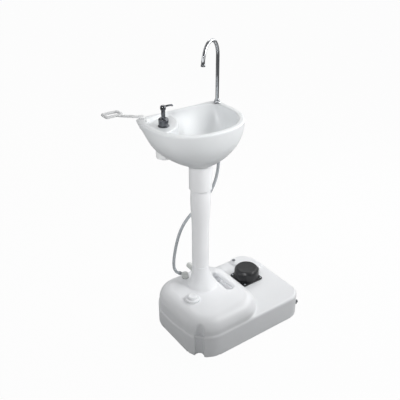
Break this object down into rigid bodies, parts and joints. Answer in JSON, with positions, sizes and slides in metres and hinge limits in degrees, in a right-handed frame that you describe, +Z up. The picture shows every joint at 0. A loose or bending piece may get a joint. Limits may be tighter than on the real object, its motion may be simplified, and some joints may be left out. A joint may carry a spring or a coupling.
{
  "type": "portable handwash station",
  "caption": "Portable handwash station: floor tank with carrying bar and foot pump, hollow column, D-shaped basin, gooseneck faucet, soap pump and towel loop.",
  "frame": {"origin": "on the floor under the column's axis, in the tank's flat bottom", "axes": "+X to the right along the tank, towards the foot pump's side; +Y to the back, away from the user; +Z up the column"},
  "size_m": [0.582, 0.4395, 1.032],
  "materials": {
    "tank_plastic": "matte, blow moulded",
    "column_plastic": "satin, moulded",
    "basin_plastic": "satin gloss, moulded",
    "white_plastic": "satin, moulded",
    "pump_plastic": "satin, moulded",
    "dark_plastic": "satin, moulded",
    "natural_plastic": "satin, natural",
    "chromed_brass": "polished chrome plating",
    "chromed_plastic": "bright chrome plating on plastic",
    "stainless_steel": "drawn wire and pressed sheet",
    "zinc_steel": "bright zinc plating",
    "black_rubber": "moulded rubber",
    "clear_hose": "glossy, translucent"
  },
  "bodies": {
    "stand": {"water_tank": "tank_plastic", "vent_plug": "dark_plastic", "pump_body": "pump_plastic", "pump_gasket": "black_rubber", "pump_screws": "zinc_steel", "intake_valve": "black_rubber", "intake_tube": "natural_plastic", "intake_strainer": "dark_plastic", "outlet_tube": "natural_plastic", "hose_elbow": "natural_plastic", "elbow_gasket": "black_rubber", "supply_hose": "clear_hose", "hose_clamps": "stainless_steel", "column_tube": "column_plastic", "column_sleeve": "column_plastic", "sleeve_screws": "zinc_steel", "basin": "basin_plastic", "drain_strainer": "stainless_steel", "drain_gasket": "black_rubber", "drain_nut": "natural_plastic", "waste_tube": "natural_plastic", "waste_elbow": "dark_plastic", "faucet_base": "chromed_brass", "faucet_seal": "black_rubber", "faucet_nut": "natural_plastic", "soap_collar": "chromed_plastic", "soap_nut": "natural_plastic", "soap_bottle": "white_plastic", "dip_tube": "natural_plastic", "towel_washer": "black_rubber"},
    "filler": {"filler_cap": "tank_plastic", "cap_gasket": "black_rubber"},
    "drain": {"drain_plug": "dark_plastic", "drain_plug_seal": "black_rubber"},
    "foot_plunger": {"pump_cap": "pump_plastic", "pump_piston": "natural_plastic", "piston_seal": "black_rubber", "pump_spring": "stainless_steel"},
    "spout": {"gooseneck_spout": "chromed_brass", "aerator": "chromed_brass"},
    "soap_plunger": {"soap_pump_head": "chromed_plastic", "soap_piston": "natural_plastic", "soap_spring": "stainless_steel"},
    "towel": {"towel_holder": "white_plastic", "towel_nut": "white_plastic"}
  },
  "joints": [
    {"name": "pedal_press", "type": "slide", "parent": "stand", "child": "foot_plunger", "axis": [0, 0, 1], "range_m": [-0.015, 0], "stiffness_N_per_m": 800, "springref_m": 0.01, "deforming": ["pump_spring"]},
    {"name": "soap_press", "type": "slide", "parent": "stand", "child": "soap_plunger", "axis": [0, 0, 1], "range_m": [-0.012, 0], "stiffness_N_per_m": 150, "springref_m": 0.01, "deforming": ["soap_spring"]},
    {"name": "spout_swivel", "type": "hinge", "parent": "stand", "child": "spout", "pos_m": [0.145, 0.105, 0.8], "axis": [0, 0, 1], "range_deg": [-110, 110]},
    {"name": "filler_lift", "type": "slide", "parent": "stand", "child": "filler", "axis": [0, 0, 1], "range_m": [0, 0.06]},
    {"name": "drain_pull", "type": "slide", "parent": "stand", "child": "drain", "axis": [0.9272, -0.3746, 0], "range_m": [0, 0.03]},
    {"name": "towel_swing", "type": "hinge", "parent": "stand", "child": "towel", "pos_m": [-0.145, 0.126, 0.8], "axis": [0, 0, 1], "range_deg": [-60, 60]}
  ]
}
